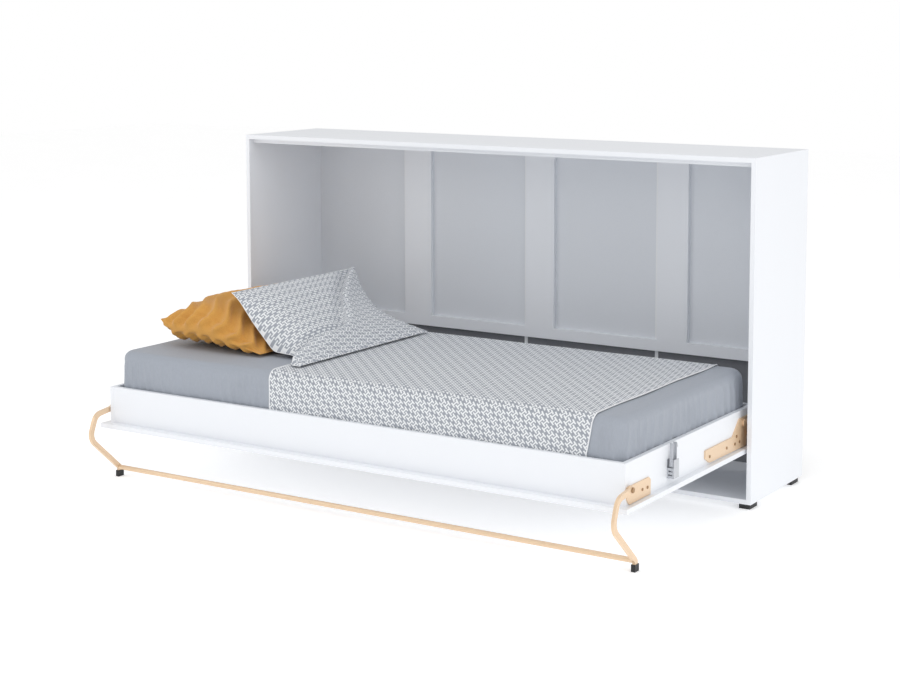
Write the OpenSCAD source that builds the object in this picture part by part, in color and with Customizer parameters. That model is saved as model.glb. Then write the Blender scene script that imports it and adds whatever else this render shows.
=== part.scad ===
// Horizontal single wall bed: a low cabinet with a bed box that folds down out of its front.
// The box turns on two pins in the cabinet sides and stands on a bent leg frame, which folds
// over the front of the box as the bed closes. Millimetres, +Z up, +X to the right, +Y to the
// wall. Lengths below are laid out from the middle of the cabinet's front edge; the last lines
// of the geometry move everything back so that the origin is under the middle of the open bed.

/* [Cabinet] */
// Width over the side panels
cabinet_w = 2130; // [2120:1:2150]
// Height from the floor to the top panel
cabinet_h = 1175; // [1175:1:1185]
// Depth from the front edge to the back sheets
cabinet_d = 460; // [456:1:480]
// Thickness of the laminated boards
board_t = 16; // [16:1:18]
// Height of the plastic feet
foot_h = 20; // [18:1:22]

/* [Bed box] */
// Length of the mattress, across the cabinet
mattress_l = 2000; // [1990:1:2000]
// Width of the mattress, out from the wall
mattress_w = 900; // [890:1:900]
// Thickness of the mattress
mattress_t = 190; // [170:1:190]
// Height of the boards round the box, above the door panel
box_rim_h = 128; // [124:1:130]
// Height of the underside of the door panel when the bed is open
door_z = 190; // [190:1:192]
// How far the hinge pins stand behind the cabinet's front edge
pivot_y = 59; // [59:1:60]

/* [Leg frame] */
// Width of the bent arms in their own plane
arm_w = 17; // [15:1:18]
// Thickness of the bent arms
arm_t = 10; // [8:1:10]
// Diameter of the crossbar
crossbar_d = 17; // [14:1:18]

/* [Hidden] */
$fn = 48;

white = "#eef0f4";
shade_white = "#dfe2e6";
peach = "#ecd2b4";
steel = "#b9bcc0";
black = "#1b1c1e";

// Cabinet
half_w = cabinet_w / 2;
inner_half = half_w - board_t;
back_t = 4;
panel_d = cabinet_d - back_t;
floor_panel_top = foot_h + board_t;
ceiling_z = cabinet_h - board_t;
inner_top_z = ceiling_z - board_t;
inner_top_setback = 30;
slat_w = 122;
slat_pitch = 557;
slat_front = panel_d - board_t;
rail_z = [410, 452];
strip_w = 13;
strip_t = 2;
foot_size = [40, 60];
foot_inset = [9, 17];
wall_hole_r = 3.5;
wall_bracket_x = 800;
wall_hole_z = inner_top_z - 16;

// Bed box
pivot_z = door_z + pivot_y;
door_gap = 3;
door_front = pivot_z + pivot_y - ceiling_z + door_gap;
door_toe = 52;
door_rear = pivot_y + pivot_z - door_toe;
door_half = inner_half - 8;
door_top = door_z + board_t;
door_lip = 28;
box_front = door_front + door_lip;
box_half = mattress_l / 2 + 4 + board_t;
rim_top = door_top + box_rim_h;
mattress_front = box_front + board_t + 6;
mattress_rear = mattress_front + mattress_w;
mattress_z = rim_top - 64;
mattress_top = mattress_z + mattress_t;
mattress_round = 30;
rear_board_y = mattress_rear + 6;
box_rear = rear_board_y + board_t;
spread_t = 5;
spread_x = [-320, 900];
slat_count = 17;
bed_slat_w = 60;
bed_slat_t = 8;
bed_slat_z = mattress_z - bed_slat_t - 1;
cap_len = 32;
ledge_w = 24;

// Main hinge, on each side: the bush floats, so it turns on the pin and the arm turns on it
plate_x = box_half;
arm_plate_t = 5;
bracket_t = 3;
bracket_x = inner_half - bracket_t;
pin_r = 6;
pin_play = 0.05;
bush_r = 9;
bush_end = plate_x + 13;
screw_head = 1.5;
hinge_screws = [[-241, 232], [-109, 232], [-44, 232], [-7, 232], [-32, 255]];
arm_boss = [27, 291];
arm_boss_r = 12;
arm_boss_t = 6;
bracket_screws = [[38, 228], [38, 274], [90, 228], [90, 274]];

// Leg frame
leg_bolt = [-800, 253];
leg_bolt_r = 5;
leg_plate_t = 4;
arm_gap = 0.5;
arm_x = plate_x + leg_plate_t + arm_gap;
leg_knee = [-884, 243];
leg_bulge = [-915, 163];
leg_ankle = [-770, 32];
leg_toe = [-770, 6];
knee_r = 38;
bulge_r = 45;
ankle_r = 14;
crossbar_at = [-775, 34];
leg_screws = [[-715, 234], [-681, 233]];
cap_wall = [2, 4.5];
cap_h = 22;

// Catch, on the right side only
catch_y = [-543, -508];
catch_z = [229, 288];
catch_depth = 24;
catch_sheet = 1.5;
catch_pivot = [-525, 240];
catch_pin_r = 2.5;
catch_pin_play = 0.05;
prong_t = 2;
prong_y = [-537, -511];
prong_top = 338;
barb_depth = 7;
barb_z = 322;
fork_x = [6, 18];
striker_r = 4;
striker_bed = [prong_y[1] + 0.6 + striker_r, barb_z - 1 - striker_r];
striker_at = [pivot_y + striker_bed[1] - pivot_z, pivot_z - striker_bed[0] + pivot_y];

// The point where two straight runs meet is rounded by an arc of radius r round this centre
function unit(v) = v / norm(v);
function corner_half(a, p, b) = acos(unit(a - p) * unit(b - p)) / 2;
function corner_centre(a, p, b, r) =
  p + unit(unit(a - p) + unit(b - p)) * r / sin(corner_half(a, p, b));
function turn(a, b) = let (d = b - a) d > 180 ? d - 360 : d < -180 ? d + 360 : d;
function corner_arc(a, p, b, r, steps = 12) =
  let (c = corner_centre(a, p, b, r),
       run = r / tan(corner_half(a, p, b)),
       from = p + unit(a - p) * run - c,
       to = p + unit(b - p) * run - c,
       start = atan2(from[1], from[0]),
       sweep = turn(start, atan2(to[1], to[0])))
  [for (i = [0:steps]) c + r * [cos(start + sweep * i / steps), sin(start + sweep * i / steps)]];

// One edge of a strip of half width h that follows the points of a path
function edge_point(path, i, h) =
  let (last = len(path) - 1,
       t = unit(path[min(i + 1, last)] - path[max(i - 1, 0)]))
  path[i] + h * [-t[1], t[0]];
function strip_outline(path, w) =
  let (last = len(path) - 1)
  concat([for (i = [0:last]) edge_point(path, i, w / 2)],
         [for (i = [last:-1:0]) edge_point(path, i, -w / 2)]);

leg_path = concat([leg_bolt],
                  corner_arc(leg_bolt, leg_knee, leg_bulge, knee_r),
                  corner_arc(leg_knee, leg_bulge, leg_ankle, bulge_r),
                  corner_arc(leg_bulge, leg_ankle, leg_toe, ankle_r),
                  [leg_toe]);
leg_front = corner_centre(leg_knee, leg_bulge, leg_ankle, bulge_r)[0] - bulge_r - arm_w / 2;
origin_shift = -(leg_front + cabinet_d) / 2;

// Everything is laid out from the cabinet's front edge, then moved to the origin
module placed() translate([0, origin_shift, 0]) children();

// Children are made for the right-hand side; side = -1 mirrors them to the left
module on_side(side) placed() mirror([side < 0 ? 1 : 0, 0, 0]) children();

// A box from its lowest corner to its highest
module span(low, high) translate(low) cube(high - low);

// A flat shape in the plane of Y and Z, standing out along +X from x
module sheet_at(x, t) translate([x, 0, 0]) rotate([90, 0, 90]) linear_extrude(t) children();

// A round bar along +X at a point of the plane of Y and Z
module bar_at(x, at, r, len) translate([x, at[0], at[1]]) rotate([0, 90, 0]) cylinder(r = r, h = len);

// A box whose edges along X are rounded
module rounded_bar(low, high, r) {
  sheet_at(low[0], high[0] - low[0]) round_rect([low[1], low[2]], [high[1], high[2]], r);
}

module round_rect(low, high, r) {
  hull() {
    for (y = [low[0] + r, high[0] - r], z = [low[1] + r, high[1] - r]) translate([y, z]) circle(r);
  }
}

// ---- Cabinet ----

module top_panel() {
  color(white) placed() span([-half_w, 0, ceiling_z], [half_w, panel_d, cabinet_h]);
}

module inner_top_board() {
  color(white) placed()
    span([-inner_half, inner_top_setback, inner_top_z], [inner_half, panel_d, ceiling_z]);
}

module side_panel(side) {
  color(white) on_side(side) span([inner_half, 0, floor_panel_top], [half_w, panel_d, ceiling_z]);
}
module left_side_panel() side_panel(-1);
module right_side_panel() side_panel(1);

module bottom_panel() {
  color(white) placed() span([-half_w, 0, foot_h], [half_w, panel_d, floor_panel_top]);
}

// Left edges of the strips that join the back sheets, one at each slat
strip_edges = [for (i = [-1:1]) i * slat_pitch - slat_w / 2 - strip_w];
sheet_edges = concat([-half_w + 4], [for (x = strip_edges) x + strip_w / 2], [half_w - 4]);

module sheet_row(z) {
  for (i = [0:len(sheet_edges) - 2]) {
    span([sheet_edges[i] + 1, panel_d, z[0]], [sheet_edges[i + 1] - 1, cabinet_d, z[1]]);
  }
}

module back_sheets() {
  color(shade_white) placed() difference() {
    sheet_row([rail_z[0] + 20, cabinet_h - 4]);
    for (x = [-1, 1] * wall_bracket_x)
      translate([x, panel_d - 1, wall_hole_z]) rotate([-90, 0, 0]) cylinder(r = wall_hole_r, h = back_t + 2);
  }
}

module lower_back_sheets() {
  color("#77797d") placed() sheet_row([foot_h + 4, rail_z[0] + 18]);
}

// Plastic strips of H section; the web lies in the gap between two sheets
module back_joint_strips() {
  color(white) placed() for (x = strip_edges) {
    difference() {
      span([x, panel_d - strip_t, floor_panel_top], [x + strip_w, panel_d, inner_top_z]);
      span([x - 1, panel_d - strip_t - 1, rail_z[0]], [x + strip_w + 1, panel_d + 1, rail_z[1]]);
    }
  }
}

module back_slat(i) {
  color(shade_white) placed()
    span([i * slat_pitch - slat_w / 2, slat_front, rail_z[1]],
         [i * slat_pitch + slat_w / 2, panel_d, inner_top_z]);
}
module back_slat_left() back_slat(-1);
module back_slat_middle() back_slat(0);
module back_slat_right() back_slat(1);

module back_rail() {
  color(shade_white) placed()
    span([-inner_half, slat_front, rail_z[0]], [inner_half, panel_d, rail_z[1]]);
}

module cabinet_feet() {
  foot_x = half_w - foot_inset[0] - foot_size[0];
  color(black) placed()
    for (x = [-foot_x - foot_size[0], -foot_size[0] / 2, foot_x],
         y = [foot_inset[1], panel_d - foot_inset[1] - foot_size[1]])
      span([x, y, 0], [x + foot_size[0], y + foot_size[1], foot_h]);
}

// Angle plates under the inner top board; their holes take the screws into the wall
module wall_brackets() {
  wing = 28;
  plate = 2.5;
  color(white) placed() for (x = [-1, 1] * wall_bracket_x) difference() {
    union() {
      span([x - 20, panel_d - plate, inner_top_z - wing], [x + 20, panel_d, inner_top_z]);
      span([x - 20, panel_d - wing, inner_top_z - plate], [x + 20, panel_d, inner_top_z]);
    }
    translate([x, panel_d - plate - 1, wall_hole_z]) rotate([-90, 0, 0])
      cylinder(r = wall_hole_r, h = plate + 2);
  }
}

module hinge_bracket(side) {
  color(peach) on_side(side) difference() {
    sheet_at(bracket_x, bracket_t)
      round_rect([pivot_y - 31, pivot_z - 33], [pivot_y + 41, pivot_z + 37], 10);
    bar_at(bracket_x - 1, [pivot_y, pivot_z], pin_r, bracket_t + 2);
    for (p = bracket_screws) bar_at(bracket_x - 1, p, 2.5, bracket_t + 2);
  }
}
module hinge_bracket_left() hinge_bracket(-1);
module hinge_bracket_right() hinge_bracket(1);

module hinge_pin(side) {
  color(steel) on_side(side)
    bar_at(plate_x + 0.5, [pivot_y, pivot_z], pin_r, inner_half - plate_x - 0.5);
}
module hinge_pin_left() hinge_pin(-1);
module hinge_pin_right() hinge_pin(1);

// Low round heads with a short shank through the plate that they hold
module plate_screws(points, x, t, head_r, outward) {
  for (p = points) {
    bar_at(x, p, 2.5, t);
    bar_at(outward ? x + t : x - screw_head, p, head_r, screw_head);
  }
}

module hinge_bracket_screws() {
  for (side = [-1, 1])
    color(steel) on_side(side) plate_screws(bracket_screws, bracket_x, bracket_t, 4, false);
}

module catch_striker() {
  color(steel) on_side(1) {
    sheet_at(bracket_x, bracket_t) round_rect(striker_at - [14, 28], striker_at + [14, 28], 5);
    bar_at(plate_x + 9, striker_at, striker_r, bracket_x - plate_x - 9);
  }
}

// ---- Bed box ----

module door_panel() {
  color(white) placed() span([-door_half, door_front, door_z], [door_half, door_rear, door_top]);
}

module front_board() {
  color(white) placed()
    span([-box_half + board_t, box_front + 1, door_top], [box_half - board_t, box_front + board_t, rim_top]);
}

module rear_board() {
  color(white) placed()
    span([-box_half + board_t, rear_board_y, door_top], [box_half - board_t, box_rear, rim_top]);
}

module end_board(side) {
  color(white) on_side(side)
    span([box_half - board_t, box_front, door_top], [box_half, box_rear, rim_top]);
}
module left_end_board() end_board(-1);
module right_end_board() end_board(1);

module slat_ledge(y) {
  color("#d9c39c") placed()
    span([-box_half + board_t, y, door_top + 12], [box_half - board_t, y + ledge_w, bed_slat_z - 1]);
}
module slat_ledge_front() slat_ledge(box_front + board_t);
module slat_ledge_rear() slat_ledge(rear_board_y - ledge_w);

slat_ends = [box_front + board_t + 4, rear_board_y - 4];
function bed_slat_x(i) = (i - (slat_count - 1) / 2) * (mattress_l - 120) / (slat_count - 1);

module bed_slats() {
  color("#e2cda6") placed() for (i = [0:slat_count - 1])
    span([bed_slat_x(i) - bed_slat_w / 2, slat_ends[0] + 3, bed_slat_z],
         [bed_slat_x(i) + bed_slat_w / 2, slat_ends[1] - 3, bed_slat_z + bed_slat_t]);
}

// Plastic sleeves that hold the ends of the slats on the ledges
module slat_caps() {
  color(black) placed() for (i = [0:slat_count - 1], end = [0, 1]) {
    y = end == 0 ? slat_ends[0] : slat_ends[1] - cap_len;
    difference() {
      span([bed_slat_x(i) - bed_slat_w / 2 - 3, y, bed_slat_z - 1],
           [bed_slat_x(i) + bed_slat_w / 2 + 3, y + cap_len, mattress_z]);
      span([bed_slat_x(i) - bed_slat_w / 2, slat_ends[0] + 3, bed_slat_z],
           [bed_slat_x(i) + bed_slat_w / 2, slat_ends[1] - 3, bed_slat_z + bed_slat_t]);
    }
  }
}

// Angles that tie the end boards to the front and rear boards, inside the box
module corner_brackets() {
  leg = 32;
  t = 2;
  x = box_half - board_t;
  z = [door_top + 14, bed_slat_z - 4];
  for (side = [-1, 1]) color(steel) on_side(side) {
    for (y = [box_front + board_t + ledge_w, rear_board_y - ledge_w - leg])
      span([x - t, y, z[0]], [x, y + leg, z[1]]);
    for (y = [box_front + board_t + ledge_w, rear_board_y - ledge_w - t])
      span([x - leg, y, z[0]], [x - t, y + t, z[1]]);
  }
}

// ---- Bedding ----

module mattress_block(grow) {
  rounded_bar([-mattress_l / 2 - grow, mattress_front - grow, mattress_z],
              [mattress_l / 2 + grow, mattress_rear + grow, mattress_top + grow],
              mattress_round + grow);
}

module mattress() {
  color("#f3f3f0") placed() mattress_block(-1.5);
}

// Stretched over the mattress, open underneath
module fitted_sheet() {
  color("#98a0aa") placed() difference() {
    mattress_block(0);
    mattress_block(-1.5);
    span([-mattress_l, mattress_front - 10, mattress_z - 10],
         [mattress_l, mattress_rear + 10, mattress_z + mattress_round + 1]);
  }
}

// Laid over the middle of the bed and tucked between the mattress and the boards
module bedspread() {
  color("#c9ccd2") placed() intersection() {
    difference() {
      sheet_at(spread_x[0], spread_x[1] - spread_x[0]) spread_section(spread_t);
      sheet_at(spread_x[0] - 1, spread_x[1] - spread_x[0] + 2) spread_section(0);
    }
    span([-half_w, door_front, mattress_z + mattress_round + 2], [half_w, cabinet_d, cabinet_h]);
  }
}

module spread_section(grow) {
  round_rect([mattress_front - grow, mattress_z - grow], [mattress_rear + grow, mattress_top + grow],
             mattress_round + grow);
}

// Profiles of the two pillows in the plane of X and Z, above the mattress top
pillow_z = mattress_top + spread_t + 1;
grey_profile = [[-236, 0], [-290, 34], [-420, 100], [-560, 186], [-655, 206], [-640, 168],
                [-560, 96], [-474, 4]];
mustard_profile = [[-940, 78], [-860, 130], [-740, 186], [-672, 172], [-578, 92], [-494, 4],
                   [-900, 4]];

module pillow(profile, y) {
  placed() translate([0, y[1], pillow_z]) rotate([90, 0, 0]) linear_extrude(y[1] - y[0]) polygon(profile);
}
module grey_pillow() color("#b4b9c1") pillow(grey_profile, [-728, 66]);
module mustard_pillow() color("#d19a45") pillow(mustard_profile, [-650, 40]);

// ---- Fittings on the box ----

hinge_arm_outline = [[-273, 257], [-273, 230], [-241, 212], [pivot_y + 61, 208],
                     [pivot_y + 61, 252], [pivot_y + 22, 309], [-7, 309], [-60, 258]];

module hinge_arm(side) {
  color(peach) on_side(side) difference() {
    union() {
      sheet_at(plate_x, arm_plate_t) polygon(hinge_arm_outline);
      bar_at(plate_x, arm_boss, arm_boss_r, arm_plate_t + arm_boss_t);
    }
    bar_at(plate_x - 1, [pivot_y, pivot_z], bush_r + pin_play, arm_plate_t + 2);
    for (p = hinge_screws) bar_at(plate_x - 1, p, 2.5, arm_plate_t + 2);
  }
}
module hinge_arm_left() hinge_arm(-1);
module hinge_arm_right() hinge_arm(1);

module hinge_bush(side) {
  color(steel) on_side(side) difference() {
    bar_at(plate_x, [pivot_y, pivot_z], bush_r, bush_end - plate_x);
    bar_at(plate_x - 1, [pivot_y, pivot_z], pin_r + pin_play, bush_end - plate_x + 2);
  }
}
module hinge_bush_left() hinge_bush(-1);
module hinge_bush_right() hinge_bush(1);

module hinge_arm_screws() {
  for (side = [-1, 1])
    color(steel) on_side(side) plate_screws(hinge_screws, plate_x, arm_plate_t, 5, true);
}

leg_plate_outline = [[-813, 262], [-813, 224], [-800, 208], [-660, 208], [-660, 252], [-670, 262]];

module leg_plate(side) {
  color(peach) on_side(side) difference() {
    sheet_at(plate_x, leg_plate_t) polygon(leg_plate_outline);
    bar_at(plate_x - 1, leg_bolt, leg_bolt_r, leg_plate_t + 2);
    for (p = leg_screws) bar_at(plate_x - 1, p, 2.5, leg_plate_t + 2);
  }
}
module leg_plate_left() leg_plate(-1);
module leg_plate_right() leg_plate(1);

module leg_plate_screws() {
  for (side = [-1, 1])
    color(steel) on_side(side) plate_screws(leg_screws, plate_x, leg_plate_t, 5, true);
}

// Shouldered bolt: the arm turns on the shank between the plate and the head
module leg_pivot_bolt(side) {
  color(steel) on_side(side) {
    bar_at(plate_x, leg_bolt, leg_bolt_r, arm_x + arm_t + arm_gap - plate_x);
    bar_at(arm_x + arm_t + arm_gap, leg_bolt, 8.5, 3);
  }
}
module leg_pivot_bolt_left() leg_pivot_bolt(-1);
module leg_pivot_bolt_right() leg_pivot_bolt(1);

// Bent sheet case, open at the top and the back, slotted across its front
module catch_housing() {
  out_x = plate_x + catch_depth;
  wall_top = catch_z[0] + 33;
  color(steel) on_side(1) difference() {
    union() {
      span([plate_x, catch_y[0], catch_z[0]], [plate_x + catch_sheet, catch_y[1], catch_z[1]]);
      span([out_x - catch_sheet, catch_y[0], catch_z[0]], [out_x, catch_y[1], catch_z[1]]);
      span([plate_x, catch_y[0], catch_z[0]], [out_x, catch_y[0] + catch_sheet, wall_top]);
      span([plate_x, catch_y[0], catch_z[0]], [out_x, catch_y[1], catch_z[0] + catch_sheet]);
    }
    for (z = [8, 20])
      span([plate_x + 5, catch_y[0] - 1, catch_z[0] + z],
           [out_x - 5, catch_y[0] + catch_sheet + 1, catch_z[0] + z + 5]);
    bar_at(plate_x - 1, catch_pivot, catch_pin_r, catch_depth + 2);
  }
}

module catch_pin() {
  color(steel) on_side(1) bar_at(plate_x, catch_pivot, catch_pin_r, catch_depth);
}

// ---- Leg frame ----

module leg_arm(side) {
  color(peach) on_side(side) difference() {
    union() {
      sheet_at(arm_x, arm_t) polygon(strip_outline(leg_path, arm_w));
      bar_at(arm_x, leg_bolt, 13, arm_t);
    }
    bar_at(arm_x - 1, leg_bolt, leg_bolt_r + pin_play, arm_t + 2);
  }
}
module leg_arm_left() leg_arm(-1);
module leg_arm_right() leg_arm(1);

module leg_crossbar() {
  color(peach) placed() bar_at(-arm_x, crossbar_at, crossbar_d / 2, 2 * arm_x);
}

module foot_cap(side) {
  low = [arm_x - cap_wall[0], leg_toe[0] - arm_w / 2 - cap_wall[1], 0];
  high = [arm_x + arm_t + cap_wall[0], leg_toe[0] + arm_w / 2 + cap_wall[1], cap_h];
  color(black) on_side(side) difference() {
    span(low, high);
    span([arm_x, leg_toe[0] - arm_w / 2 - 0.05, leg_toe[1]],
         [arm_x + arm_t, leg_toe[0] + arm_w / 2 + 0.05, cap_h + 1]);
  }
}
module foot_cap_left() foot_cap(-1);
module foot_cap_right() foot_cap(1);

// ---- Catch fork ----

fork_base_z = [catch_z[0] + 4, catch_z[1] - 8];
fork_outline = [[prong_y[0], fork_base_z[0]], [prong_y[0], prong_top],
                [prong_y[0] + prong_t, prong_top], [prong_y[0] + prong_t, fork_base_z[1]],
                [prong_y[1] - prong_t, fork_base_z[1]], [prong_y[1] - prong_t, prong_top],
                [prong_y[1], prong_top], [prong_y[1] + barb_depth, barb_z + 4],
                [prong_y[1] + barb_depth, barb_z], [prong_y[1], barb_z], [prong_y[1], fork_base_z[0]]];

module catch_fork() {
  color(steel) on_side(1) difference() {
    sheet_at(plate_x + fork_x[0], fork_x[1] - fork_x[0]) polygon(fork_outline);
    bar_at(plate_x, catch_pivot, catch_pin_r + catch_pin_play, catch_depth);
  }
}

top_panel();
inner_top_board();
left_side_panel();
right_side_panel();
bottom_panel();
back_sheets();
lower_back_sheets();
back_joint_strips();
back_slat_left();
back_slat_middle();
back_slat_right();
back_rail();
cabinet_feet();
wall_brackets();
hinge_bracket_left();
hinge_bracket_right();
hinge_pin_left();
hinge_pin_right();
hinge_bracket_screws();
catch_striker();
door_panel();
front_board();
rear_board();
left_end_board();
right_end_board();
slat_ledge_front();
slat_ledge_rear();
bed_slats();
slat_caps();
corner_brackets();
mattress();
fitted_sheet();
bedspread();
grey_pillow();
mustard_pillow();
hinge_arm_left();
hinge_arm_right();
hinge_bush_left();
hinge_bush_right();
hinge_arm_screws();
leg_plate_left();
leg_plate_right();
leg_plate_screws();
leg_pivot_bolt_left();
leg_pivot_bolt_right();
catch_housing();
catch_pin();
leg_arm_left();
leg_arm_right();
leg_crossbar();
foot_cap_left();
foot_cap_right();
catch_fork();
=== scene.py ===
# %% [markdown]
# # A horizontal wall bed
# This lesson dresses a finished CAD model of a wall bed. The boards, hinges and legs arrive with
# their true shapes, so they only need materials. The bedding arrives as plain solids, so every
# soft piece is made again here as a curved surface with its own cloth.

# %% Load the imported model
from math import radians

import bmesh
import bpy
import numpy as np
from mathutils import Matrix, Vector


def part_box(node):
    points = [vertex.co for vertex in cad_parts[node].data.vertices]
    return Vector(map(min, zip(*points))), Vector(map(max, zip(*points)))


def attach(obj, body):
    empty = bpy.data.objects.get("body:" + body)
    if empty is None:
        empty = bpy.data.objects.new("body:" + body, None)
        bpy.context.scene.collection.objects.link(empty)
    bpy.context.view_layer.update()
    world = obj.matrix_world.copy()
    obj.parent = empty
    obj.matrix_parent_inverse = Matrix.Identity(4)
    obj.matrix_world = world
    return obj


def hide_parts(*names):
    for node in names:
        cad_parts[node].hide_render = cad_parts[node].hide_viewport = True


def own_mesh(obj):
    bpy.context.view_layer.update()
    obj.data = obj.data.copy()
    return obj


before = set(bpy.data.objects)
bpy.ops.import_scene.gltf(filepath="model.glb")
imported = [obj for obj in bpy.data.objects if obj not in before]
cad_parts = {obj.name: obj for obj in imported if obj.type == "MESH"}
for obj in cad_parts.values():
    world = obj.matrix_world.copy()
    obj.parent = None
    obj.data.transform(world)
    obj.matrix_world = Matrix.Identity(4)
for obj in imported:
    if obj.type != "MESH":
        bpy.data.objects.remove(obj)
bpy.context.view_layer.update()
MM = 0.001
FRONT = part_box("top_panel")[0].y


def corners(node):
    """Lowest and highest corner of a node at rest, as arrays."""
    low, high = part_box(node)
    return np.array(low), np.array(high)


# %% [markdown]
# ## Camera and light
# Furniture is shown from slightly above with a long lens, so that its upright edges stay nearly
# parallel. A small vertical shift frames it without tilting the camera further. The set is a
# white sweep: an even white sky fills every shadow, one broad lamp from the left gives the
# inside of the cabinet its soft grey, a second one keeps the right side panel bright, and a
# third one over the bed lights its top.

# %% Camera
camera_data = bpy.data.cameras.new("camera")
CAMERA_LENS, CAMERA_SHIFT = 70.8, (-0.033, -0.153)
AHEAD_OF_FRONT = 5.337
camera_data.lens = CAMERA_LENS
camera_data.shift_x, camera_data.shift_y = CAMERA_SHIFT
camera = bpy.data.objects.new("camera", camera_data)
camera.location = (3.343, FRONT - AHEAD_OF_FRONT, 1.642)
camera.rotation_euler = (radians(84), 0, radians(32.018))
bpy.context.scene.collection.objects.link(camera)
bpy.context.scene.camera = camera


# %% Lights and floor
def lamp(name, place, turn, size, power):
    """A square soft box at a place, turned by three angles in degrees."""
    data = bpy.data.lights.new(name, "AREA")
    data.size = size
    data.energy = power
    lamp_object = bpy.data.objects.new(name, data)
    lamp_object.location = place
    lamp_object.rotation_euler = [radians(angle) for angle in turn]
    bpy.context.scene.collection.objects.link(lamp_object)


lamp("key_light", (-4.6, -4.6, 3.4), (66, 0, -47), 2.6, 42)
lamp("side_light", (5.5, -1.2, 2.2), (78, 0, 78), 2.5, 42)
lamp("top_light", (0.6, -2.2, 5.0), (12, 0, 0), 3.6, 46)

world = bpy.data.worlds.new("white_sky")
world.use_nodes = True
world.node_tree.nodes["Background"].inputs["Color"].default_value = (1, 1, 1, 1)
SKY, BACKDROP = 0.72, 1.0
seen = world.node_tree.nodes.new("ShaderNodeLightPath").outputs["Is Camera Ray"]
level = world.node_tree.nodes.new("ShaderNodeMapRange")
level.inputs["To Min"].default_value = SKY
level.inputs["To Max"].default_value = BACKDROP
world.node_tree.links.new(seen, level.inputs["Value"])
world.node_tree.links.new(level.outputs["Result"], world.node_tree.nodes["Background"].inputs["Strength"])
bpy.context.scene.world = world
bpy.context.scene.view_settings.view_transform = "Standard"


# %% [markdown]
# ## Helpers for materials
# A material is a small tree of nodes. One function turns a hex colour into the linear numbers
# that the shader wants, one adds a node with its settings and links, and one starts a finish.

# %% Colour and nodes
def linear(code):
    """An sRGB hex colour as linear red, green, blue and 1."""
    srgb = np.array([int(code[i:i + 2], 16) for i in (1, 3, 5)]) / 255
    light = np.where(srgb <= 0.04045, srgb / 12.92, ((srgb + 0.055) / 1.055) ** 2.4)
    return (*light.tolist(), 1.0)


def add(tree, kind, links=None, **settings):
    """Add a shader node; links maps each socket to a value or to another node's output."""
    node = tree.nodes.new("ShaderNode" + kind)
    for name, value in settings.items():
        setattr(node, name, value)
    for socket, value in (links or {}).items():
        if isinstance(value, bpy.types.NodeSocket):
            tree.links.new(value, node.inputs[socket])
        else:
            node.inputs[socket].default_value = value
    return node


def start_finish(name, colour, roughness, **sockets):
    """A new material with its shader's plain sockets set; underscores stand for spaces."""
    material = bpy.data.materials.new(name)
    material.use_nodes = True
    tree = material.node_tree
    shader = tree.nodes["Principled BSDF"]
    shader.inputs["Base Color"].default_value = linear(colour)
    shader.inputs["Roughness"].default_value = roughness
    for socket, value in sockets.items():
        shader.inputs[socket.replace("_", " ")].default_value = value
    return material, tree, shader


def mottle(tree, shader, dark, light, scale, stretch=(1, 1, 1), bump=0.0, detail=3.0):
    """Vary a finish between two colours by noise of scale cells per metre, and emboss it."""
    place = add(tree, "TexCoord").outputs["Object"]
    spread = add(tree, "Mapping", {"Vector": place, "Scale": stretch}).outputs[0]
    noise = add(tree, "TexNoise", {"Vector": spread, "Scale": scale, "Detail": detail}).outputs[0]
    mix = add(tree, "Mix", {0: noise, 6: linear(dark), 7: linear(light)}, data_type="RGBA")
    tree.links.new(mix.outputs[2], shader.inputs["Base Color"])
    if bump:
        relief = add(tree, "Bump", {"Height": noise, "Strength": 0.4, "Distance": bump})
        tree.links.new(relief.outputs[0], shader.inputs["Normal"])
    return noise


def dress(material, *nodes):
    """Give CAD nodes a material in every slot."""
    for node in nodes:
        mesh_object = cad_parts[node]
        for item in mesh_object.material_slots:
            item.material = material
        if not mesh_object.material_slots:
            mesh_object.data.materials.append(material)


# The floor glows a little, so that it stays as white as the sky behind it
FLOOR_REACH, FLOOR_GLOW = 15, 0.3
floor_mesh = bpy.data.meshes.new("studio_floor")
floor_corners = [(FLOOR_REACH * u, FLOOR_REACH * v, 0) for u, v in ((-1, -1), (1, -1), (1, 1), (-1, 1))]
floor_mesh.from_pydata(floor_corners, [], [(0, 1, 2, 3)])
floor = bpy.data.objects.new("studio_floor", floor_mesh)
bpy.context.scene.collection.objects.link(floor)
floor_paint, floor_tree, floor_shader = start_finish("matt_floor_paint", "#fbfbfb", 0.8,
                                                     Emission_Color=(1, 1, 1, 1),
                                                     Emission_Strength=FLOOR_GLOW)
mottle(floor_tree, floor_shader, "#f8f8f8", "#fdfdfd", 2.0)
floor_mesh.materials.append(floor_paint)

# %% [markdown]
# ## Boards
# The carcass is chipboard faced with white melamine: a hard satin skin pressed on a plate with a
# very fine pearl, which breaks the highlight but can't be seen as relief from a metre away. The
# back is thinner hardboard, lacquered white above the rail; below it, painted shade makes it dark grey.

# %% Melamine, hardboard and plastic strips
melamine, tree, shader = start_finish("white_melamine_board", "#eef1f6", 0.38, IOR=1.5)
mottle(tree, shader, "#ebeef3", "#f2f4f8", 900.0, bump=0.00006)
dress(melamine, "top_panel", "inner_top_board", "left_side_panel", "right_side_panel",
      "bottom_panel", "door_panel", "front_board", "rear_board", "left_end_board",
      "right_end_board", "back_slat_left", "back_slat_middle", "back_slat_right", "back_rail")

# Lacquered hardboard: rollers leave a slight orange peel, a little greyer than melamine
lacquered_board, tree, shader = start_finish("lacquered_hardboard", "#e4e7ec", 0.5)
mottle(tree, shader, "#dfe3e9", "#e6e9ee", 350.0, bump=0.0001)
dress(lacquered_board, "back_sheets")
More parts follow.
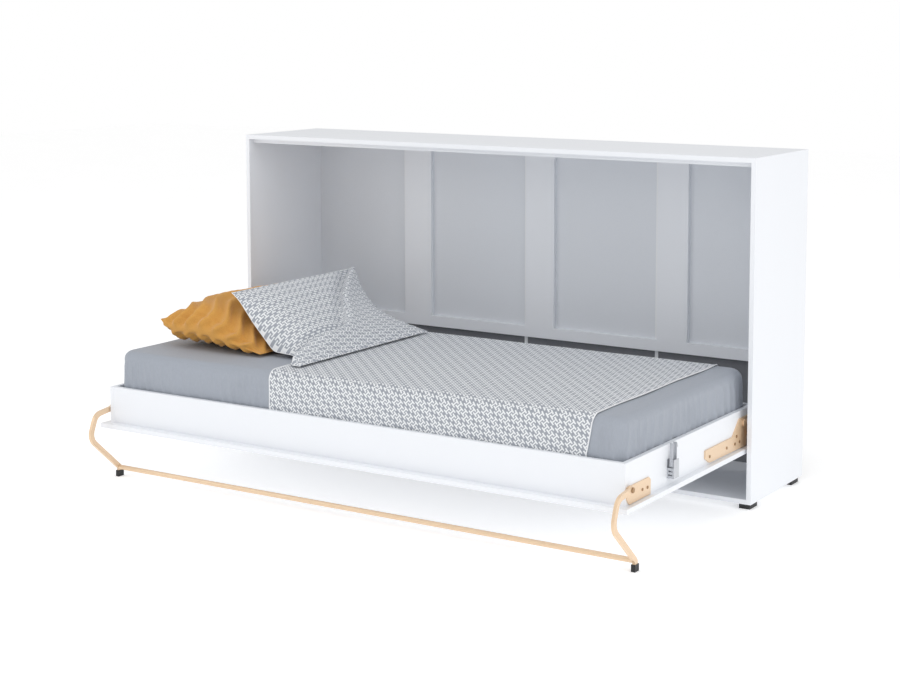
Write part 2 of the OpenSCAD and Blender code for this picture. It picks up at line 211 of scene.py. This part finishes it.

# Below the rail the hardboard is coloured dark grey as painted shade for the shadow behind the bed. The
# mesh side's fine fibre shows as streaked noise and relief
painted_shade_grey_board, tree, shader = start_finish("grey_hardboard", "#75777b", 0.7)
mottle(tree, shader, "#6a6c70", "#808287", 420.0, stretch=(0.35, 1, 1), bump=0.0002, detail=6.0)
dress(painted_shade_grey_board, "lower_back_sheets")

powder_coat, tree, shader = start_finish("white_powder_coat", "#eceef2", 0.45)
mottle(tree, shader, "#e8eaee", "#f0f2f5", 1100.0, bump=0.0001)
dress(powder_coat, "wall_brackets")

strip_plastic, tree, shader = start_finish("white_pvc_strip", "#f0f2f5", 0.3, IOR=1.53)
mottle(tree, shader, "#edeff2", "#f2f4f6", 60.0, stretch=(1, 1, 0.1))
dress(strip_plastic, "back_joint_strips")

# %% [markdown]
# ## Metal and moulded plastic
# The hinge plates and the legs are steel under a pale copper lacquer, so they shine like paint
# with a warm metallic tone below it. Catch, pins and screws are zinc plated: bright, with the
# fine drawn lines of the sheet. Feet and caps are moulded black plastic with a spark-eroded grain.

# %% Copper lacquer, zinc, bronze, black plastic
copper, tree, shader = start_finish("pale_copper_lacquer", "#e9cba8", 0.36, Metallic=0.25,
                                    Coat_Weight=0.35, Coat_Roughness=0.25)
mottle(tree, shader, "#e4c4a0", "#eed3b3", 260.0, bump=0.00005)
dress(copper, "hinge_bracket_left", "hinge_bracket_right", "hinge_arm_left", "hinge_arm_right",
      "leg_plate_left", "leg_plate_right", "leg_arm_left", "leg_arm_right", "leg_crossbar")

zinc, tree, shader = start_finish("zinc_plated_steel", "#c6c9ce", 0.34, Metallic=1.0)
mottle(tree, shader, "#b4b7bc", "#d6d8dc", 700.0, stretch=(1, 0.08, 1), bump=0.00004)
dress(zinc, "hinge_pin_left", "hinge_pin_right", "hinge_bracket_screws",
      "catch_striker", "catch_housing", "catch_pin", "catch_fork", "corner_brackets")

# Screws and bolts in the copper plates: steel coloured dark brown, browner than the lacquer round them, as
# painted shade for the shadow in their holes and round the bolt heads
painted_shade_screw_metal, tree, shader = start_finish("screws_dark_as_painted_shade", "#a5835f", 0.35, Metallic=0.8)
mottle(tree, shader, "#8f6f4e", "#b9966f", 900.0, bump=0.00005)
dress(painted_shade_screw_metal, "hinge_arm_screws", "leg_plate_screws", "leg_pivot_bolt_left",
      "leg_pivot_bolt_right")

bronze, tree, shader = start_finish("sintered_bronze", "#a9793f", 0.45, Metallic=1.0)
mottle(tree, shader, "#8f6330", "#bd8b4c", 1500.0, bump=0.00008)
dress(bronze, "hinge_bush_left", "hinge_bush_right")

black_plastic, tree, shader = start_finish("grained_black_plastic", "#1d1e21", 0.5, IOR=1.49)
mottle(tree, shader, "#17181a", "#26272a", 1200.0, bump=0.0001)
dress(black_plastic, "cabinet_feet", "foot_cap_left", "foot_cap_right", "slat_caps")

# %% [markdown]
# ## Timber under the mattress
# The ledges are planed pine, with rings that run along the board. The slats are birch plywood,
# pale, with short fine fibres along their length. Noise that is squeezed along one axis gives both.

# %% Pine and birch
pine, tree, shader = start_finish("planed_pine", "#d8bb86", 0.55)
mottle(tree, shader, "#c39a62", "#e3cb9a", 160.0, stretch=(0.03, 1, 1), bump=0.00015)
dress(pine, "slat_ledge_front", "slat_ledge_rear")

birch, tree, shader = start_finish("birch_plywood", "#e0c79b", 0.5)
mottle(tree, shader, "#cfb07d", "#ead5ad", 300.0, stretch=(1, 0.04, 1), bump=0.0001)
dress(birch, "bed_slats")


# %% [markdown]
# ## Cloth
# Woven cloth is two sets of threads that pass over and under each other. The weave reads the
# piece's own UV map, which holds metres along the threads, so that it follows every fold. Real
# threads are 0.3 mm apart; here a rib is drawn every 2.4 mm, the finest that still shows.

# %% Weave and plain cloths
def ripple(tree, along, spacing):
    """A wave from 0 to 1 of one full cycle per spacing metres."""
    turn = add(tree, "Math", {0: along, 1: 2 * np.pi / spacing}, operation="MULTIPLY").outputs[0]
    wave = add(tree, "Math", {0: turn}, operation="SINE").outputs[0]
    return add(tree, "Math", {0: wave, 1: 0.5, 2: 0.5}, operation="MULTIPLY_ADD").outputs[0]


def weave(tree, shader, spacing, depth, extra=None):
    """Plain weave: the height is the product of the two ripples, plus a printed relief."""
    uv = add(tree, "UVMap", uv_map="threads").outputs[0]
    split = add(tree, "SeparateXYZ", {0: uv})
    warp = ripple(tree, split.outputs[0], spacing)
    weft = ripple(tree, split.outputs[1], spacing)
    height = add(tree, "Math", {0: warp, 1: weft}, operation="MULTIPLY").outputs[0]
    if extra is not None:
        height = add(tree, "Math", {0: extra, 1: 1.5, 2: height}, operation="MULTIPLY_ADD").outputs[0]
    relief = add(tree, "Bump", {"Height": height, "Strength": 0.5, "Distance": depth})
    tree.links.new(relief.outputs[0], shader.inputs["Normal"])


RIB, RIB_DEPTH = 0.0024, 0.0004
ticking, tree, shader = start_finish("quilted_ticking", "#f0efea", 0.85)
mottle(tree, shader, "#e9e8e2", "#f5f4f0", 220.0)
weave(tree, shader, 0.004, 0.0008)

sheet_cotton, tree, shader = start_finish("blue_grey_sateen", "#a0a6b0", 0.72,
                                          Sheen_Weight=0.15, Sheen_Roughness=0.5)
mottle(tree, shader, "#9aa0aa", "#a7adb7", 300.0, stretch=(1, 1, 0.25))
weave(tree, shader, RIB, RIB_DEPTH)

mustard_cotton, tree, shader = start_finish("mustard_crinkle_cotton", "#d39a45", 0.8,
                                            Sheen_Weight=0.2, Sheen_Roughness=0.5)
mottle(tree, shader, "#c88c38", "#dea855", 260.0, detail=5.0)
weave(tree, shader, 0.0028, 0.0006)

piping_cotton, tree, shader = start_finish("white_cotton_piping", "#f1f2f4", 0.75)
mottle(tree, shader, "#e6e8eb", "#f6f7f8", 900.0, bump=0.0002)


# %% [markdown]
# The grey cloth is printed with white bars that lock into each other: every bar is a letter I
# lying between two others. Columns of them stand 15 mm apart, and each second column is moved
# by half a bar. A point is white where it is within half a stroke of a stem or of a cross stroke.

# %% Interlocking bar print
def math(tree, operation, a, b=0.0):
    """One arithmetic step on two numbers or outputs."""
    return add(tree, "Math", {0: a, 1: b}, operation=operation).outputs[0]


def fold_back(tree, value, period):
    """Distance from value to the nearest whole multiple of period."""
    return math(tree, "PINGPONG", value, period / 2)


def bar_column(tree, across, along, unit):
    """1 on one column of bars: stems three units long, with a cross stroke at each end."""
    half_stroke, half_cross = 0.40 * unit, 1.55 * unit
    cross_gap = fold_back(tree, along, 3 * unit)
    cross = math(tree, "MULTIPLY", math(tree, "LESS_THAN", cross_gap, half_stroke),
                 math(tree, "LESS_THAN", across, half_cross))
    in_stem = math(tree, "LESS_THAN", math(tree, "FLOORED_MODULO", along, 6 * unit), 3 * unit)
    stem = math(tree, "MULTIPLY", math(tree, "LESS_THAN", across, half_stroke), in_stem)
    return math(tree, "MAXIMUM", cross, stem)


def bar_print(tree, unit, angle):
    """The print's mask, from UV in metres turned by an angle in degrees."""
    uv = add(tree, "UVMap", uv_map="threads").outputs[0]
    # The shift keeps every coordinate positive
    turned = add(tree, "Mapping", {"Vector": uv, "Location": (20, 20, 0),
                                   "Rotation": (0, 0, radians(angle))}).outputs[0]
    split = add(tree, "SeparateXYZ", {0: turned})
    across = fold_back(tree, split.outputs[0], 5 * unit)
    along = split.outputs[1]
    other = math(tree, "SUBTRACT", 2.5 * unit, across)
    first = bar_column(tree, across, along, unit)
    second = bar_column(tree, other, math(tree, "ADD", along, 1.5 * unit), unit)
    return math(tree, "MAXIMUM", first, second)


def printed_cloth(name, unit, angle, ground):
    """Grey cotton with the white bar print on a ground colour."""
    cloth, tree, shader = start_finish(name, "#a9afb9", 0.78, Sheen_Weight=0.1)
    mask = bar_print(tree, unit, angle)
    mix = add(tree, "Mix", {0: mask, 6: linear(ground), 7: linear("#eceef0")}, data_type="RGBA")
    tree.links.new(mix.outputs[2], shader.inputs["Base Color"])
    weave(tree, shader, RIB, RIB_DEPTH, mask)
    return cloth


spread_print = printed_cloth("bar_print_cotton_on_the_bias", 0.0058, 45, "#9ca1aa")
pillow_print = printed_cloth("bar_print_cotton", 0.0060, 0, "#a3a8b1")


# %% [markdown]
# ## Surfaces from arrays
# Every soft piece starts as a grid of points that numpy works out in one go. The helpers below
# join a grid into faces, store the thread coordinates, and sum a few seeded waves for the soft
# unevenness of cloth.

# %% Grid helpers
def grid_faces(rows, columns, first=0, flip=False):
    """Quads that join neighbouring points of a grid stored row by row."""
    index = first + np.arange(rows * columns).reshape(rows, columns)
    quads = np.stack([index[:-1, :-1], index[:-1, 1:], index[1:, 1:], index[1:, :-1]], -1)
    quads = quads.reshape(-1, 4)
    return quads[:, ::-1] if flip else quads


def cloth_piece(name, points, faces, threads, material, weld=0.00005):
    """A smooth mesh from points, faces and each point's place along the threads in metres."""
    mesh = bpy.data.meshes.new(name)
    mesh.from_pydata(points.tolist(), [], faces.tolist())
    layer = mesh.uv_layers.new(name="threads")
    loops = np.empty(len(mesh.loops), dtype=np.int32)
    mesh.loops.foreach_get("vertex_index", loops)
    layer.data.foreach_set("uv", threads[loops].astype(np.float32).ravel())
    work = bmesh.new()
    work.from_mesh(mesh)
    bmesh.ops.remove_doubles(work, verts=work.verts, dist=weld)
    bmesh.ops.dissolve_degenerate(work, edges=work.edges, dist=weld)
    work.to_mesh(mesh)
    work.free()
    mesh.polygons.foreach_set("use_smooth", np.ones(len(mesh.polygons), dtype=bool))
    mesh.materials.append(material)
    piece = bpy.data.objects.new(name, mesh)
    bpy.context.scene.collection.objects.link(piece)
    print(name, len(mesh.polygons), "faces")
    return piece


def unevenness(u, v, wave_length, seed, count=7):
    """Sum of count sine waves of about wave_length metres in seeded directions, within -1..1."""
    rng = np.random.default_rng(seed)
    total = np.zeros(np.broadcast(u, v).shape)
    for _ in range(count):
        angle, phase = rng.uniform(0, 2 * np.pi, 2)
        step = 2 * np.pi / (wave_length * rng.uniform(0.6, 1.7))
        total += np.sin(step * (np.cos(angle) * u + np.sin(angle) * v) + phase)
    return total / count


def thicken(piece, thickness, offset):
    """Give a single sheet a thickness; offset -1 grows it inwards and 1 outwards."""
    solid = piece.modifiers.new("thickness", "SOLIDIFY")
    solid.thickness = thickness
    solid.offset = offset
    return solid


# %% [markdown]
# ## Mattress and fitted sheet
# Seen from above, a mattress is a rounded rectangle. Rings of that outline climb its wall, turn
# over a rounded rim and close in on the middle of the top, each ring a little further in. The
# fitted sheet is the same surface, a little outside, that ends under the rim of the mattress,
# with the upright creases that elastic pulls into the corners.

# %% Rings of a rounded block
def ring(half_x, half_y, radius, corner=20, long_side=250, short_side=110):
    """Points of a rounded rectangle round the origin: centre(p) plus radius along angle(p). On a
    corner the angle grows by a quarter turn and the centre stands still, on a side it is the
    other way round."""
    steps = (corner, long_side, corner, short_side) * 2
    signs = np.array([(1, 1), (1, 1), (-1, 1), (-1, 1), (-1, -1), (-1, -1), (1, -1), (1, -1), (1, 1)])
    p = np.concatenate([part + np.arange(n) / n for part, n in enumerate(steps)] + [[8]])
    turn = np.interp(p, np.arange(9), np.array([0, 1, 1, 2, 2, 3, 3, 4, 4]) * np.pi / 2)
    spot = np.stack([np.interp(p, np.arange(9), signs[:, i]) for i in (0, 1)], -1)
    return spot * [half_x - radius, half_y - radius] + radius * np.stack([np.cos(turn), np.sin(turn)], -1)


CORNER_RADIUS, RIM_RADIUS = 0.055, 0.030


def block_surface(low, high, rim, skirt):
    """Grid of rings: up the wall from skirt, round a quarter circle of radius rim, then inwards
    over a flat top."""
    centre = (low + high) / 2
    half = (high - low) / 2
    wall = [(0.0, z) for z in np.linspace(skirt, high[2] - rim, 22)]
    arc = [(rim * (1 - np.cos(a)), high[2] - rim + rim * np.sin(a))
           for a in np.linspace(0.1, np.pi / 2, 12)]
    reach = np.linspace(rim, half[1], 19)[1:]
    top = [(inset, high[2]) for inset in reach]
    rows = []
    for inset, z in wall + arc + top:
        radius = max(min(max(CORNER_RADIUS - inset, 0.001), half[1] - inset), 0.0)
        flat = ring(half[0] - inset, half[1] - inset, radius)
        rows.append(np.column_stack([flat + centre[:2], np.full(len(flat), z)]))
    return np.array(rows)


def along_threads(points):
    """Thread coordinates from the place: X with the drop added at the ends, Y the same."""
    drop = points[..., 2].max() - points[..., 2]
    return np.stack([points[..., 0] + np.sign(points[..., 0]) * drop * 0.5,
                     points[..., 1] + drop], -1).reshape(-1, 2)


low, high = corners("mattress")
ROOM_IN_COVER = np.array([0.006, 0.006, 0.004])
block = block_surface(low + ROOM_IN_COVER * [1, 1, 0], high - ROOM_IN_COVER, RIM_RADIUS - 0.002, low[2])
middle = (low + high) / 2
# Two more rings draw the lowest one together and close the underside
closing = np.array([block[0] * [1, k, 1] + [0, middle[1] * (1 - k), 0] for k in (0.0, 0.5)])
block = np.concatenate([closing, block])
mattress = cloth_piece("mattress_core", block.reshape(-1, 3), grid_faces(*block.shape[:2]),
                       along_threads(block), ticking)
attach(mattress, "bed_box")
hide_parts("mattress")

# %% Fitted sheet
low, high = corners("fitted_sheet")
MATTRESS_TOP = high[2]
BED_FRONT, BED_REAR = low[1], high[1]
cover = block_surface(low, high, RIM_RADIUS, low[2])
x, y, z = cover[..., 0], cover[..., 1], cover[..., 2]
wall_share = np.clip((high[2] - 0.008 - z) / 0.05, 0, 1)
# Where the bedspread lies on it the sheet stays smooth: bare fades to 0 just before both hems
SPREAD_LEFT, SPREAD_RIGHT = (box[0] for box in corners("bedspread"))
BEFORE_HEM, BLEND = 0.02, 0.01
past_left_hem = np.tanh((x - SPREAD_LEFT + BEFORE_HEM) / BLEND)
past_right_hem = np.tanh((x - SPREAD_RIGHT - BEFORE_HEM) / BLEND)
bare = 1 - 0.5 * past_left_hem + 0.5 * past_right_hem
near_corner = np.exp(-((1.0 - np.abs(x)) / 0.20) ** 2) + 0.8 * np.exp(-((x + 0.42) / 0.12) ** 2)
lengthwise = np.abs(x - np.sign(x) * (high[0] - CORNER_RADIUS)) + np.abs(y - y.mean())
CREASE_SPACING = 0.043
creases = 0.5 + 0.5 * np.sin(lengthwise * 2 * np.pi / CREASE_SPACING + 4 * np.sin(lengthwise * 13) + 9 * z)
outward = np.gradient(cover, axis=1)
outward = np.stack([outward[..., 1], -outward[..., 0], 0 * z], -1)
outward /= np.maximum(np.linalg.norm(outward, axis=-1, keepdims=True), 1e-9)
crease_depth = 0.0020 + 0.0045 * near_corner
push = wall_share * bare * (crease_depth * creases ** 4 + 0.0030 * unevenness(x, y + z, 0.09, 4))
cover = cover + outward * push[..., None]
cover[..., 2] += 0.0012 * (unevenness(x, y, 0.25, 5) - 0.6) * (1 - wall_share)
sheet = cloth_piece("fitted_sheet_cloth", cover.reshape(-1, 3), grid_faces(*cover.shape[:2]),
                    along_threads(cover), sheet_cotton)
thicken(sheet, 0.001, -1)
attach(sheet, "bed_box")
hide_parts("fitted_sheet")


# %% [markdown]
# ## Bedspread
# One straight length of cloth lies across the bed, rounds both edges of the mattress and goes
# down between the mattress and the boards. Its section is a walk in the plane of Y and Z: up,
# a quarter circle, across, a quarter circle, down. The grid repeats the section along X.

# %% Section and cloth of the bedspread
def over_the_bed(lift, bottom, steps):
    """Points (y, z) at even steps along up - round - across - round - down, lift above the sheet,
    and the length walked to each."""
    radius = RIM_RADIUS + lift
    front, rear, top = BED_FRONT - lift, BED_REAR + lift, MATTRESS_TOP + lift
    quarter = np.linspace(0, np.pi / 2, 14)
    rise = np.stack([front + radius * (1 - np.cos(quarter)), top - radius + radius * np.sin(quarter)], -1)
    fall = np.stack([rear - radius * (1 - np.cos(quarter[::-1])),
                     top - radius + radius * np.sin(quarter[::-1])], -1)
    path = np.concatenate([[[front, bottom]], rise, fall, [[rear, bottom]]])
    walked = np.concatenate([[0], np.cumsum(np.linalg.norm(np.diff(path, axis=0), axis=1))])
    even = np.linspace(0, walked[-1], steps)
    return np.stack([np.interp(even, walked, path[:, i]) for i in (0, 1)], -1), even


low, high = corners("bedspread")
SPREAD_LIFT = 0.003
section, walked = over_the_bed(SPREAD_LIFT, low[2], 260)
across = np.linspace(low[0], high[0], 300)
X, WALK = np.meshgrid(across, walked)
spread_points = np.stack([X, np.repeat(section[:, :1], len(across), 1),
                          np.repeat(section[:, 1:], len(across), 1)], -1)
on_top = np.clip((spread_points[..., 2] - (MATTRESS_TOP - 0.02)) / 0.02, 0, 1)
spread_points[..., 2] += 0.0008 * unevenness(X, WALK, 0.20, 11) * on_top
outwards = np.sign(section[:, :1] - 0.5 * (BED_FRONT + BED_REAR))
spread_points[..., 1] += 0.0010 * np.sin(X * 2 * np.pi / 0.31) * (1 - on_top) * outwards
# The right edge is drawn in where it hangs
HANG_DRAWN_IN = 0.022
hang = np.clip((MATTRESS_TOP - spread_points[..., 2]) / 0.12, 0, 1)
spread_points[..., 0] -= HANG_DRAWN_IN * hang * np.clip(X / high[0], 0, 1)
edge_draw = np.exp(-(np.minimum(X - low[0], high[0] - X) / 0.03) ** 2)
spread_points[..., 0] += 0.0025 * np.sin(WALK * 2 * np.pi / 0.4) * edge_draw
threads = np.stack([X, WALK], -1).reshape(-1, 2)
spread = cloth_piece("bedspread_cloth", spread_points.reshape(-1, 3),
                     grid_faces(*X.shape, flip=True), threads, spread_print)
thicken(spread, 0.002, 0)
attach(spread, "bed_box")
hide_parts("bedspread")


# %% [markdown]
# A narrow round piping closes the cut edges of the bedspread and one side of the grey pillow. It
# is a circle carried along a path: at each point two directions square to the path hold it.

# %% Piping
def tube(path, radius, sides=10):
    """Grid of circles of one radius round the points of a path, closed by points at both ends."""
    run = np.gradient(path, axis=0)
    run /= np.linalg.norm(run, axis=1)[:, None]
    side = np.cross(run, [0.13, 0.31, 0.94])
    side /= np.linalg.norm(side, axis=1)[:, None]
    up = np.cross(run, side)
    turn = np.linspace(0, 2 * np.pi, sides + 1)
    rim = np.cos(turn)[None, :, None] * side[:, None] + np.sin(turn)[None, :, None] * up[:, None]
    body = path[:, None] + radius * rim
    ends = [np.repeat(path[i][None, None], sides + 1, 1) for i in (0, -1)]
    return np.concatenate([ends[0], body, ends[1]])


def piping(name, path, radius):
    """A welted edge along a path, white, with its seam closed."""
    rings = tube(path, radius)
    steps = np.meshgrid(np.arange(rings.shape[0]), np.arange(rings.shape[1]), indexing="ij")
    uv = np.stack(steps, -1).reshape(-1, 2) * radius
    return cloth_piece(name, rings.reshape(-1, 3), grid_faces(*rings.shape[:2]), uv, piping_cotton)


for label, column in (("left", 0), ("right", -1)):
    edge = spread_points[:, column] + [0, 0, 0.0005]
    cord = piping(f"bedspread_piping_{label}", edge, 0.0022)
    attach(cord, "bed_box")


# %% [markdown]
# ## Pillows
# A pillow is two sheets sewn together round the edge. Each sheet follows a profile from one long
# seam to the other, and both draw together to a middle line towards the short seams, by the
# square root of a falling power, which gives a full, round end. Creases are valleys pressed along
# curves, and gathers are short waves that fade away from the seams.

# %% Pillow shells
def along_profile(profile, s):
    """Points at shares s of the length of a profile of (x, z) points, after rounds of smoothing
    in which each point moves to the mean of itself, twice, and its two neighbours."""
    profile = np.array(profile, float)
    walked = np.concatenate([[0], np.cumsum(np.linalg.norm(np.diff(profile, axis=0), axis=1))])
    fine = np.linspace(0, 1, 241)
    line = np.stack([np.interp(fine * walked[-1], walked, profile[:, i]) for i in (0, 1)], -1)
    rounds = 60
    for _ in range(rounds):
        line[1:-1] = (line[:-2] + 2 * line[1:-1] + line[2:]) / 4
    return np.stack([np.interp(s, fine, line[:, i]) for i in (0, 1)], -1)


def pillow_shell(upper, lower, y_front, y_rear, fullness, near_seam, rows=110, columns=150):
    """Two grids between the seams; y_front and y_rear give the ends' places for each share s, and
    near_seam how high the near end's seam lies between the lower sheet, 0, and the upper one, 1."""
    s = (1 - np.cos(np.linspace(0, np.pi, rows))) / 2
    t = (1 - np.cos(np.linspace(0, np.pi, columns))) / 2
    S, T = np.meshgrid(s, t, indexing="ij")
    swell = np.sqrt(np.clip(1 - np.abs(2 * T - 1) ** fullness, 0, 1))
    top, bottom = along_profile(upper, s), along_profile(lower, s)
    height = near_seam + (0.5 - near_seam) * np.clip(T / 0.4, 0, 1)
    middle_line = bottom[:, None] + (top - bottom)[:, None] * height[..., None]
    y = y_front(S) * (1 - T) + y_rear(S) * T
    shells = []
    for face in (top, bottom):
        xz = middle_line + (face[:, None] - middle_line) * swell[..., None]
        shells.append(np.stack([xz[..., 0], y, xz[..., 1]], -1))
    return S, T, shells


def outward_of(shell):
    """Unit normals of a grid, from the cross product of its two directions."""
    normal = np.cross(np.gradient(shell, axis=0), np.gradient(shell, axis=1))
    return normal / np.maximum(np.linalg.norm(normal, axis=-1, keepdims=True), 1e-9)


def sewn_pillow(name, shells, threads, material):
    """Join the two sheets of a pillow along their edges."""
    rows, columns = shells[0].shape[:2]
    points = np.concatenate([shell.reshape(-1, 3) for shell in shells])
    faces = np.concatenate([grid_faces(rows, columns), grid_faces(rows, columns, rows * columns, True)])
    pillow = cloth_piece(name, points, faces, threads, material)
    work = bmesh.new()
    work.from_mesh(pillow.data)
    bmesh.ops.recalc_face_normals(work, faces=work.faces)
    work.to_mesh(pillow.data)
    work.free()
    return pillow


def valley(S, T, curve, width):
    """1 along a curve of (s, t) points, fading to 0 over width."""
    curve = np.array(curve, float)
    fine = np.linspace(0, len(curve) - 1, 80)
    line = np.stack([np.interp(fine, np.arange(len(curve)), curve[:, i]) for i in (0, 1)], -1)
    gap = np.hypot(S[..., None] - line[:, 0], (T[..., None] - line[:, 1]) * 1.4).min(-1)
    return np.exp(-(gap / width) ** 2)


# %% Grey pillow
REST_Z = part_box("grey_pillow")[0].z
grey_upper = np.array([(-250, 6), (-288, 40), (-420, 112), (-560, 186), (-630, 208), (-652, 203)]) * MM
grey_lower = np.array([(-250, 6), (-300, 1), (-468, 2), (-560, 100), (-618, 176), (-652, 203)]) * MM
for profile in (grey_upper, grey_lower):
    profile[:, 1] += REST_Z


def grey_front(s):
    """The near side seam: long at the bottom edge, then drawn in to a straight side."""
    return (-598 - 124 * np.exp(-(s / 0.17) ** 4) + 8 * s) * MM + FRONT


def grey_rear(s):
    """The far side seam: it sags between its two corners."""
    return (50 + 66 * s ** 2 - 55 * np.sin(np.pi * s)) * MM + FRONT


S, T, (top, bottom) = pillow_shell(grey_upper, grey_lower, grey_front, grey_rear, 3.2, 0.1)
seam = np.minimum.reduce([S, 1 - S, T, 1 - T])
# The lower far part is a flap folded over: FOLD is its edge, as shares (s, t) of the sheet. The
# large panel dips along the edge and the flap stands up along it.
FOLD = [(0.15, -0.05), (0.25, 0.14), (0.235, 0.29), (0.285, 0.44), (0.39, 0.55), (0.60, 0.69),
        (0.80, 0.85), (1.0, 1.0)]
fold_s = np.interp(T, [t for _, t in FOLD], [s for s, _ in FOLD])
flap = 0.5 - 0.5 * np.tanh((S - fold_s) / 0.025)
crease = valley(S, T, FOLD, 0.07) * (1 - flap)
ridge = valley(S, T, FOLD, 0.11) * flap
LONG_SIDE_GATHERS, SHORT_SIDE_GATHERS = 17, 11
gathers = np.sin(T * 2 * np.pi * LONG_SIDE_GATHERS + 2 * np.sin(T * 9))
gathers *= np.exp(-(np.minimum(S, 1 - S) / 0.06) ** 2)
gathers += np.sin(S * 2 * np.pi * SHORT_SIDE_GATHERS) * np.exp(-(np.minimum(T, 1 - T) / 0.05) ** 2)
inside = np.clip(seam / 0.02, 0, 1)
waves = 0.004 * unevenness(S, T * 1.6, 0.45, 21)
push = (-0.024 * crease + 0.020 * ridge + 0.0020 * gathers + waves) * inside
normal = outward_of(top)
normal *= np.sign(normal[..., 2:].mean())
top = top + normal * push[..., None]
bottom[..., 2] = np.maximum(bottom[..., 2], REST_Z + 0.0005)
# The pillow leans by LEAN. The print on the flap is turned by FLAP_TURN radians about the share
# FLAP_HUB of the sheet.
LEAN = np.arctan2(200, 400)
FLAP_TURN, FLAP_HUB = 0.7, (0.45, 0.34)


def grey_thread_places(shell, turned):
    """Places along the threads: Y and the way up the slope, turned by FLAP_TURN about the middle
    of the fold where turned is true."""
    flat = np.stack([shell[..., 1], -shell[..., 0] * np.cos(LEAN) + shell[..., 2] * np.sin(LEAN)], -1)
    row, column = (int(share * (count - 1)) for share, count in zip(FLAP_HUB, S.shape))
    arm = flat - flat[row, column]
    cosine, sine = np.cos(FLAP_TURN), np.sin(FLAP_TURN)
    spun = np.stack([arm[..., 0] * cosine - arm[..., 1] * sine,
                     arm[..., 0] * sine + arm[..., 1] * cosine], -1) + flat[row, column]
    return np.where(turned[..., None], spun, flat).reshape(-1, 2)


nowhere = np.zeros(S.shape, dtype=bool)
grey_threads = np.concatenate([grey_thread_places(top, S < fold_s),
                               grey_thread_places(bottom, nowhere)])
grey_pillow = sewn_pillow("grey_pillow_case", (top, bottom), grey_threads, pillow_print)
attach(grey_pillow, "bed_box")
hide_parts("grey_pillow")
grey_cord = piping("grey_pillow_piping", top[:, 0], 0.0013)
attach(grey_cord, "bed_box")

# %% [markdown]
# The mustard pillow lies under it and shows its near end. Its crinkled cotton runs in ridges
# about 65 mm apart, which wander from the top over the end and down to the seam. A line of
# stitching, drawn as a shallow groove, crosses them.

# %% Mustard pillow
mustard_upper = np.array([(-936, 92), (-905, 120), (-850, 152), (-745, 182), (-680, 168),
                          (-590, 92), (-492, 6)]) * MM
mustard_lower = np.array([(-936, 92), (-925, 40), (-880, 6), (-700, 2), (-560, 2),
                          (-492, 6)]) * MM
for profile in (mustard_upper, mustard_lower):
    profile[:, 1] += REST_Z


def mustard_front(s):
    """The near end seam bows towards the viewer at the bottom right."""
    return (-640 - 30 * np.sin(np.pi * s) ** 2 * s - 6 * np.cos(np.pi * s)) * MM + FRONT


def mustard_rear(s):
    """The far end seam, drawn in at the middle."""
    return (35 - 25 * np.sin(np.pi * s)) * MM + FRONT


S, T, (top, bottom) = pillow_shell(mustard_upper, mustard_lower, mustard_front, mustard_rear, 5.0, 0.35)
seam = np.minimum.reduce([S, 1 - S, T, 1 - T])
# over_end grows evenly over the near end: 0 at its seam and 1 where the end turns into the top
RIDGES = 8
over_end = np.sqrt(T / 0.12)
across_ridges = RIDGES * S + 0.30 * np.sin(5.5 * over_end + 2 * S) + 0.5 * over_end
wave = 1 - 2 * np.abs(np.sin(np.pi * across_ridges)) ** 1.4
fade = np.exp(-(T / 0.5) ** 2) * np.clip(S / 0.2, 0, 1) * np.clip((1 - S) / 0.1, 0, 1)
fade = fade * np.clip(T / 0.006, 0, 1)
stitching = np.exp(-((over_end - 0.42 - 0.12 * S) / 0.05) ** 2)
push = (0.011 * wave - 0.004 * stitching) * fade
push = push + 0.004 * unevenness(S, T * 1.5, 0.4, 31) * np.clip(seam / 0.03, 0, 1)
for shell, outward_sign, share in ((top, 1, 1.0), (bottom, -1, 0.7)):
    normal = outward_of(shell)
    normal *= np.sign(normal[..., 2:].mean()) * outward_sign
    shell += normal * (share * push)[..., None]
bottom[..., 2] = np.maximum(bottom[..., 2], REST_Z + 0.0005)
mustard_threads = np.concatenate([shell[..., :2].reshape(-1, 2) for shell in (top, bottom)])
mustard_pillow = sewn_pillow("mustard_pillow_case", (top, bottom), mustard_threads, mustard_cotton)
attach(mustard_pillow, "bed_box")
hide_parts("mustard_pillow")

# %% [markdown]
# ## The pillows' own meshes
# The two pillows and the grey pillow's piping each get a mesh of their own.

# %% Own meshes for the pillows
for piece in (grey_pillow, grey_cord, mustard_pillow):
    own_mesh(piece)
